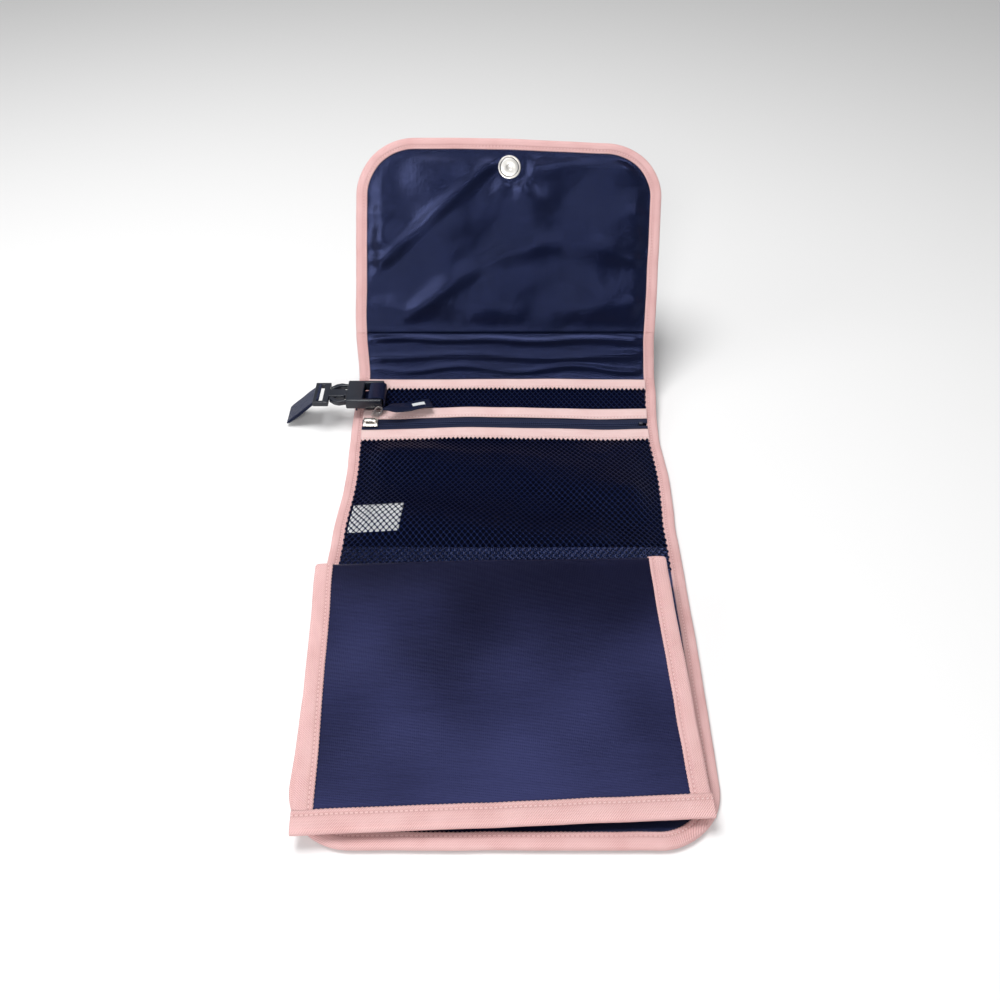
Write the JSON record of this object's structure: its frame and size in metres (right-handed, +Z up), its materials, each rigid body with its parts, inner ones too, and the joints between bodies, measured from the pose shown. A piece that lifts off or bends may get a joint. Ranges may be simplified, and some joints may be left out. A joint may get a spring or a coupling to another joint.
{
  "type": "hanging toiletry bag",
  "caption": "Fold-out hanging toiletry bag: tape-bound fabric panels with a zipped mesh pocket, a hinged canvas leaf, a magnetic snap flap and a buckled webbing hanging loop.",
  "frame": {"origin": "middle of the whole bag's footprint on the table it lies on, opened out", "axes": "+X to the right seen from the free end of the front panel, +Y from the front panel towards the flap, +Z up from the table"},
  "size_m": [0.2942, 0.5078, 0.1731],
  "materials": {
    "canvas": "coated canvas, fine rib",
    "satin": "glossy lining",
    "mesh": "open warp-knit mesh",
    "tape": "twill binding tape",
    "webbing": "smooth webbing",
    "label": "woven label",
    "board": "stiffener sheet",
    "plastic": "moulded acetal",
    "metal": "polished nickel",
    "magnet": "turned face"
  },
  "bodies": {
    "back_panel": {"back_canvas": "canvas", "back_board": "board", "back_lining": "satin", "back_binding_left": "tape", "back_binding_right": "tape", "mesh_pocket": "mesh", "care_label": "label", "mesh_band": "mesh", "top_tape": "tape", "zip_edge_tape_upper": "tape", "zip_edge_tape_lower": "tape", "zip_tape_upper": "webbing", "zip_tape_lower": "webbing", "zip_coil_upper": "webbing", "zip_coil_lower": "webbing", "zip_stop_right": "metal", "strap_tab": "webbing"},
    "zip_slider": {"zip_slider": "metal"},
    "zip_pull_tab": {"zip_pull_tab": "metal"},
    "ribbon_puller": {"ribbon_puller": "webbing"},
    "buckle_socket": {"buckle_socket": "plastic"},
    "buckle_plug": {"buckle_plug": "plastic"},
    "buckle_prong_front": {"buckle_prong_front": "plastic"},
    "buckle_prong_back": {"buckle_prong_back": "plastic"},
    "strap_loop": {"strap_loop": "webbing"},
    "top_spine": {"top_spine_canvas": "canvas", "top_spine_lining": "satin", "top_spine_binding_left": "tape", "top_spine_binding_right": "tape"},
    "flap": {"flap_canvas": "canvas", "flap_board": "board", "flap_lining": "satin", "flap_binding": "tape", "snap_socket_cup": "metal", "snap_socket_magnet": "magnet", "snap_socket_washer": "metal"},
    "bottom_spine": {"pocket_bottom_tape": "tape", "bottom_spine_canvas": "canvas", "bottom_spine_lining": "satin", "bottom_spine_binding_left": "tape", "bottom_spine_binding_right": "tape"},
    "front_panel": {"front_canvas": "canvas", "front_board": "board", "front_lining": "satin", "front_binding": "tape", "snap_stud": "metal", "snap_stud_washer": "metal", "leaf_wall": "canvas", "leaf_wall_binding_left": "tape", "leaf_wall_binding_right": "tape"},
    "leaf_page": {"page_canvas": "canvas", "page_backing": "satin", "page_binding_left": "tape", "page_binding_right": "tape", "page_binding_bottom": "tape"}
  },
  "joints": [
    {"name": "top_spine_fold", "type": "hinge", "parent": "back_panel", "child": "top_spine", "pos_m": [0.02709, 0.14022, 0.01798], "axis": [1, 0, 0], "range_deg": [-48, 34]},
    {"name": "flap_fold", "type": "hinge", "parent": "top_spine", "child": "flap", "pos_m": [0.02709, 0.16464, 0.04709], "axis": [1, 0, 0], "range_deg": [-6, 91.2]},
    {"name": "bottom_spine_fold", "type": "hinge", "parent": "back_panel", "child": "bottom_spine", "pos_m": [0.02709, -0.03669, 0.0051], "axis": [-1, 0, 0], "range_deg": [0, 90]},
    {"name": "front_panel_fold", "type": "hinge", "parent": "bottom_spine", "child": "front_panel", "pos_m": [0.02709, -0.07529, 0.0051], "axis": [-1, 0, 0], "range_deg": [0, 88.1]},
    {"name": "leaf_lift", "type": "hinge", "parent": "front_panel", "child": "leaf_page", "pos_m": [0.01769, -0.08048, 0.03424], "axis": [0.999, 0.0453, -0.0011], "range_deg": [-150, 0]},
    {"name": "zip_travel", "type": "slide", "parent": "back_panel", "child": "zip_slider", "axis": [1, 0, 0], "range_m": [0, 0.2]},
    {"name": "pull_tab_swing", "type": "hinge", "parent": "zip_slider", "child": "zip_pull_tab", "pos_m": [-0.07591, 0.09215, 0.0144], "axis": [-0.8398, 0, 0.543], "range_deg": [-60, 0]},
    {"name": "ribbon_swing", "type": "hinge", "parent": "zip_pull_tab", "child": "ribbon_puller", "pos_m": [-0.07064, 0.09373, 0.0227], "axis": [-0.3256, 0.9455, 0], "range_deg": [-80, 0]},
    {"name": "strap_swing", "type": "hinge", "parent": "back_panel", "child": "buckle_socket", "pos_m": [-0.07051, 0.11291, 0.0233], "axis": [0, -1, 0], "range_deg": [-100, 0]},
    {"name": "buckle_release", "type": "slide", "parent": "buckle_socket", "child": "buckle_plug", "axis": [-1, 0, 0], "range_m": [0, 0.012]},
    {"name": "prong_front_squeeze", "type": "hinge", "parent": "buckle_plug", "child": "buckle_prong_front", "pos_m": [-0.11001, 0.10631, 0.0235], "axis": [0, 0, 1], "range_deg": [0, 5], "stiffness_Nm_per_rad": 0.3},
    {"name": "prong_back_squeeze", "type": "hinge", "parent": "buckle_plug", "child": "buckle_prong_back", "pos_m": [-0.11001, 0.11951, 0.0235], "axis": [0, 0, -1], "range_deg": [0, 5], "stiffness_Nm_per_rad": 0.3},
    {"name": "loop_swing", "type": "hinge", "parent": "buckle_plug", "child": "strap_loop", "pos_m": [-0.12141, 0.11291, 0.0235], "axis": [0, -1, 0], "range_deg": [-80, 0]}
  ],
  "couplings": [
    {"joint": "prong_back_squeeze", "follows": "prong_front_squeeze", "ratio": 1}
  ]
}
